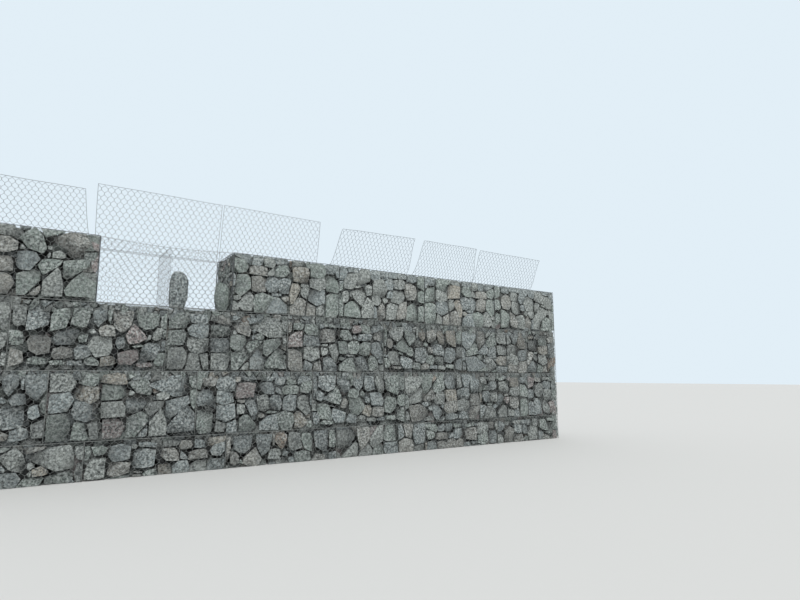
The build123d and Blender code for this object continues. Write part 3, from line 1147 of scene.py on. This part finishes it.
# %% Tubes along many paths
def tubes(heap, paths, facing, radius, sides=3):
    """Round wires along paths, an array of wires by points by three. Facing is the way out."""
    paths = np.asarray(paths, float)
    run = np.empty_like(paths)
    run[:, 1:-1] = paths[:, 2:] - paths[:, :-2]
    run[:, 0], run[:, -1] = paths[:, 1] - paths[:, 0], paths[:, -1] - paths[:, -2]
    run /= np.linalg.norm(run, axis=2, keepdims=True)
    across = np.cross(run, np.broadcast_to(np.asarray(facing, float), paths.shape))
    across /= np.linalg.norm(across, axis=2, keepdims=True)
    out = np.cross(across, run)
    angle = np.arange(sides) * 2 * pi / sides
    ring = np.cos(angle)[:, None] * out[:, :, None] + np.sin(angle)[:, None] * across[:, :, None]
    points = paths[:, :, None] + radius * ring
    wires, length = paths.shape[:2]
    k = np.arange(sides)
    base = (np.arange(wires)[:, None, None] * length + np.arange(length - 1)[None, :, None]) * sides
    after = (k + 1) % sides
    quads = np.stack([base + k, base + after, base + sides + after, base + sides + k], 3)
    start = np.arange(wires)[:, None] * length * sides
    caps = np.concatenate([start + k[::-1], start + (length - 1) * sides + k])
    heap.add(points, quads.reshape(-1, 4))
    heap.add(np.zeros((0, 3)), caps - wires * length * sides)


# %% [markdown]
# ## Twisted netting
# In each twist two wires wind once round each other. A wire keeps to its own lane: it is wound
# with its left neighbour in one row and with its right neighbour in the next, and slants across
# in between.

# %% A panel of twisted netting with its selvedge
# radii of wire and selvedge in a lid, in a panel, and in the rear panel and the diaphragm, which
# look fainter
lid_wires, panel_wires, faint_wires = (0.0025, 0.003), (0.0025, 0.0028), (0.0014, 0.002)


def twisted_panel(heap, place, facing, width, height, radius, selvedge):
    """Wires of a panel and the thicker wire round it. place(s, t, n) gives points."""
    columns, rows = round(width / mesh_step), round(height / mesh_pitch)
    step, pitch = width / columns, height / rows
    lane = np.arange(columns)[:, None, None]
    row = np.arange(rows + 1)[None, :, None]
    wind = np.arange(4)[None, None, :]
    meets = lane + (lane + row) % 2
    side = np.where(meets == lane, 1, -1)
    start = np.maximum(row * pitch - half_twist, 0)
    end = np.minimum(row * pitch + half_twist, height)
    turn = wind * 2 * pi / 3
    s = meets * step + side * radius * np.cos(turn)
    t = start + (end - start) * wind / 3
    n = side * radius * np.sin(turn)
    s, t, n = np.broadcast_arrays(s, t, n)
    points = place(s.reshape(-1), t.reshape(-1), n.reshape(-1)).reshape(columns, -1, 3)
    tubes(heap, points, facing, radius)
    s_run, t_run = np.linspace(0, width, 25), np.linspace(0, height, 13)
    for s, t in (
        (s_run, 0 * s_run),
        (s_run, np.full_like(s_run, height)),
        (0 * t_run, t_run),
        (np.full_like(t_run, width), t_run),
    ):
        tubes(heap, place(s, t, 0 * s)[None], facing, selvedge, 6)


# %% [markdown]
# ## Lids
# Each lid stands open on the rear edge at its own lean, which the joint's limits give: at its
# upper limit a lid lies level over its basket, and at its lower limit level behind the wall. The
# upper corners are pulled in or out. The first three lids are nearly flat and bow a little away
# from the basket. The other three lean far forward and hang in a belly, and two of them are
# twisted. Netting goes flat again as it is laid down, so these three would be squashed as they
# close: all the way behind the wall, and by half over the basket, where the stones leave room
# for the rest. Here each of them only gets a mesh of its own.

# %% Six lids
lid_half = 0.98
hinge_y, hinge_z = 0.5, 3.567
tucks = ((0, 0.16), (-0.05, 0), (0, 0.01), (0.23, -0.14), (0.36, 0.0), (0, -0.09))
twists = (0, 0, 0, 9, 3, 0)
bellies = (0, 0, 0, 0.16, 0.16, 0.11)
bow, dent_depth, slack = 0.028, 0.010, 0.008


def lid_place(middle, lean, tuck, belly, twist, seed):
    """How a lid's netting lies: pulled at its corners, bowed, twisted, and with a belly in front."""
    rng = Random(seed)
    up_way = np.array((0, -sin(lean), cos(lean)))
    out_way = np.array((0, -cos(lean), -sin(lean)))
    waves = [(rng.uniform(1.5, 4.5), rng.uniform(0, 2 * pi), rng.uniform(0.3, 1)) for _ in range(3)]

    def place(s, t, n):
        share = t / lid_height
        left, right = -lid_half + tuck[0] * share**0.5, lid_half - tuck[1] * share**0.5
        x = middle + left + (right - left) * s / (2 * lid_half)
        wave = sum(k * (1 + np.sin(rate * s + turn)) for rate, turn, k in waves) / len(waves)
        dent = dent_depth * (1 + np.sin(5.1 * s + 7.3 * t + seed)) * np.minimum(1, 4 * share)
        back = bow * wave * share**1.5 + dent * 0.5
        height = t * (1 - slack * share * wave)
        turned = radians(twist) * s / (2 * lid_half)
        front = belly * belly_shape(share) - height * np.sin(turned)
        height = height * np.cos(turned)
        return (
            np.stack([x, np.full_like(x, hinge_y), np.full_like(x, hinge_z)], 1)
            + height[:, None] * up_way
            + (n + front - back)[:, None] * out_way
        )

    return place, out_way


for number, tuck, twist, belly in zip(range(1, 7), tucks, twists, bellies):
    hinge = next(j for j in frame["joints"] if j["child"] == f"lid_{number}")
    lean = radians(90 - hinge["range_deg"][1])
    middle = -half_length + 2 * number - 1
    heap = Heap()
    place, facing = lid_place(middle, lean, tuck, belly, twist, number)
    twisted_panel(heap, place, facing, 2 * lid_half, lid_height, *lid_wires)
    made = heap.piece(f"lid_{number}_netting", wire, f"lid_{number}", "wire_netting", f"lid_{number}")
    if belly:
        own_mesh(made)
clock(f"lids: {tally['lid_1_netting']} triangles each")

# %% [markdown]
# ## The empty basket
# Its front, back, sides and the diaphragm in the middle are the same twisted netting. Nothing
# fills it yet, so the front edge sags 45 mm between the posts, and pulls the front of the
# diaphragm down with it.

# %% Panels of the empty basket
floor_z, rim_z, front_sag = 2.558, 3.542, 0.045
clear_width, clear_depth = 1.984, 0.984
middle = (open_left + open_right) / 2


def panel_place(origin, s_way, n_way, droop):
    """How a standing panel lies; droop(s) is how far its upper edge hangs down."""
    origin, s_way, n_way = map(np.array, (origin, s_way, n_way))

    def place(s, t, n):
        drop = droop(s) * (t / (rim_z - floor_z))
        wave = 0.006 * np.sin(4.3 * s + 1.7) * np.sin(3.1 * t)
        out = (n + wave)[:, None] * n_way
        return origin + s[:, None] * s_way + np.array((0, 0, 1)) * (t - drop)[:, None] + out

    return place


def sagging(s):
    return front_sag * 4 * (s / clear_width) * (1 - s / clear_width)


def taut(s):
    return sagging(s) * 0.2


def level(s):
    return 0 * s


def drawn_down(s):
    return front_sag * (1 - s / clear_depth) ** 2


leftward, rightward, forward, rearward = (-1, 0, 0), (1, 0, 0), (0, -1, 0), (0, 1, 0)
post_gap, side_gap, side_y = 0.008, 0.0035, 0.492
left_x, right_x = open_left + side_gap, open_right - side_gap
# name, lower corner, the way along, the way out, width, how the upper edge hangs, wires
panels = (
    ("front", (open_left + post_gap, -half_depth), rightward, forward, clear_width, sagging, panel_wires),
    ("rear", (open_right - post_gap, half_depth), leftward, rearward, clear_width, taut, faint_wires),
    ("left_side", (left_x, -side_y), rearward, rightward, clear_depth, level, panel_wires),
    ("right_side", (right_x, side_y), forward, leftward, clear_depth, level, panel_wires),
    ("diaphragm", (middle, -side_y), rearward, rightward, clear_depth, drawn_down, faint_wires),
)
for name, origin, s_way, n_way, width, droop, wires in panels:
    heap = Heap()
    place = panel_place((*origin, floor_z), s_way, n_way, droop)
    twisted_panel(heap, place, n_way, width, rim_z - floor_z, *wires)
    heap.piece(f"open_netting_{name}", wire, "wall", "wire_netting", f"open_basket_{name}")
clock("panels of the empty basket")

# %% [markdown]
# ## Laced edges
# Where baskets meet, the edge wires of their panels lie side by side and a lacing wire is wound
# round all of them. Three wires in a bundle and one long spiral give that, with a slight wander
# so that no edge is dead straight.

# %% Bundles of edge wires
# radii of the wires, and of the rings that they lie on
edge_wire, bundle_ring, bare_wire = 0.0021, 0.0025, 0.0022
lacing_wire, lacing_ring, lacing_pitch = 0.0014, 0.0062, 0.10
wander_step, wander_by = 0.25, 0.0016
foot_gap, head_gap = 0.008, 0.006


def laced_edge(heap, start, end, seed):
    """Three edge wires and their lacing from one point to another."""
    rng = Random(seed)
    start, end = Vector(start), Vector(end)
    length = (end - start).length
    way = (end - start) / length
    side = Vector((0, 0, 1)) if abs(way.z) < 0.5 else Vector((1, 0, 0))
    other = way.cross(side)
    count = max(3, round(length / wander_step) + 1)
    wander = [(rng.gauss(0, wander_by), rng.gauss(0, wander_by)) for _ in range(count)]
    wander[0] = wander[-1] = (0, 0)
    centre = np.array(
        [start + way * length * k / (count - 1) + side * a + other * b for k, (a, b) in enumerate(wander)]
    )

    def ring(angle):
        return np.cos(angle)[:, None] * np.array(side) + np.sin(angle)[:, None] * np.array(other)

    bundle = bundle_ring * ring(np.arange(3) * 2 * pi / 3 + 0.5)
    tubes(heap, centre + bundle[:, None], side, edge_wire, 5)
    turns = round(length / lacing_pitch)
    k = np.arange(turns * 5 + 1)
    along, spread = k / (turns * 5), np.linspace(0, 1, count)
    middle = np.stack([np.interp(along, spread, centre[:, i]) for i in range(3)], 1)
    spiral = lacing_ring * ring(k * 2 * pi / 5 + rng.uniform(0, 6))
    tubes(heap, (middle + spiral)[None], way, lacing_wire, 3)


for course in range(1, 5):
    heap = Heap()
    bottom, top = levels[course - 1], levels[course]
    bottom += foot_gap if course > 1 else 0
    for y in (-half_depth, half_depth):
        runs = ((-half_length, half_length),)
        if course == 4:
            # over the empty basket the edge wires are still bare: the rear one lies straight,
            # and in front the panel's own selvedge sags
            runs = ((-half_length, open_left), (open_right, half_length))
        for left, right in runs:
            laced_edge(heap, (left, y, top), (right, y, top), course)
        if course == 4 and y > 0:
            bare = np.linspace((open_left, y, top), (open_right, y, top), 9)
            tubes(heap, bare[None], (0, 0, 1), bare_wire, 5)
        for x in joints[course - 1]:
            laced_edge(heap, (x, y, bottom), (x, y, top - head_gap), 10 * course + x)
    for x in joints[3] if course == 4 else (-half_length, half_length):
        near = half_depth - head_gap
        laced_edge(heap, (x, -near, top), (x, near, top), x + 77)
    # the top course's edges stand against the sky and take the wire in painted shade, the lower ones the
    # lit copy
    kind = wire if course == 4 else lit_wire
    made = heap.piece(f"course_{course}_lacing", kind, "wall", "laced_wire", f"course_{course}_edges")
    clock(f"{made.name}: {tally[made.name]} triangles")

# %% [markdown]
# ## Hinge loops
# A lid has no hinge of its own: loops of lacing wire go round its lower edge wire and round the
# rear edge of the basket, and the lid turns in them.

# %% Loops along the rear edge
loops_a_lid, loop_step, loop_lean, loop_wire = 19, 0.104, 0.006, 0.0011
loop_z, loop_half_width, loop_half_height = 3.5585, 0.0075, 0.0165
heap = Heap()
turn = np.linspace(0, 2 * pi, 11)
for number in range(1, 7):
    middle = -half_length + 2 * number - 1
    for k in range(loops_a_lid):
        x = middle + (k - loops_a_lid // 2) * loop_step + loop_lean * (-1) ** k * np.cos(turn)
        y = hinge_y + loop_half_width * np.sin(turn)
        z = loop_z - loop_half_height * np.cos(turn)
        tubes(heap, np.stack([x, y, z], 1)[None], (1, 0, 0), loop_wire, 4)
made = heap.piece("hinge_loops", wire, "wall", "laced_wire")
clock(f"{made.name}: {tally[made.name]} triangles")

# %% [markdown]
# ## Floor and light
# The wall stands on a plain pale floor. The sky is an even light from all round, with one large
# soft lamp from the front and above, as on a bright overcast day.

# %% Floor, world and lamp
bpy.ops.mesh.primitive_plane_add(size=240, location=(0, 0, 0))
floor = bpy.context.object
floor.name = "floor"
pale, flow = new_material("pale floor")
finish_material(flow, {"Base Color": (0.62, 0.62, 0.60, 1), "Roughness": 0.9})
floor.data.materials.append(pale)

world = bpy.data.worlds.new("overcast")
world.use_nodes = True
world.node_tree.nodes.clear()
flow = Flow(world.node_tree)
seen = flow.node("ShaderNodeLightPath", output=0)
sky = flow.node("ShaderNodeBackground", None, {"Color": (0.76, 0.86, 0.93, 1), "Strength": 1.0})
light = flow.node("ShaderNodeBackground", None, {"Color": (0.93, 0.965, 1.0, 1), "Strength": 0.72})
both = flow.node("ShaderNodeMixShader", None, {0: seen, 1: light, 2: sky})
flow.node("ShaderNodeOutputWorld", None, {0: both})
bpy.context.scene.world = world

bpy.ops.object.light_add(type="SUN", location=(-6, -10, 12))
sun = bpy.context.object
sun.name = "soft_sun"
sun.rotation_euler = (radians(42), radians(-14), 0)
sun.data.energy = 2.15
sun.data.angle = radians(25)
bpy.context.scene.view_settings.view_transform = "Standard"
clock("floor and light")

# %% Sizes, and the end
print("triangles:", sum(tally.values()), {k: v for k, v in tally.items() if v > 20000})
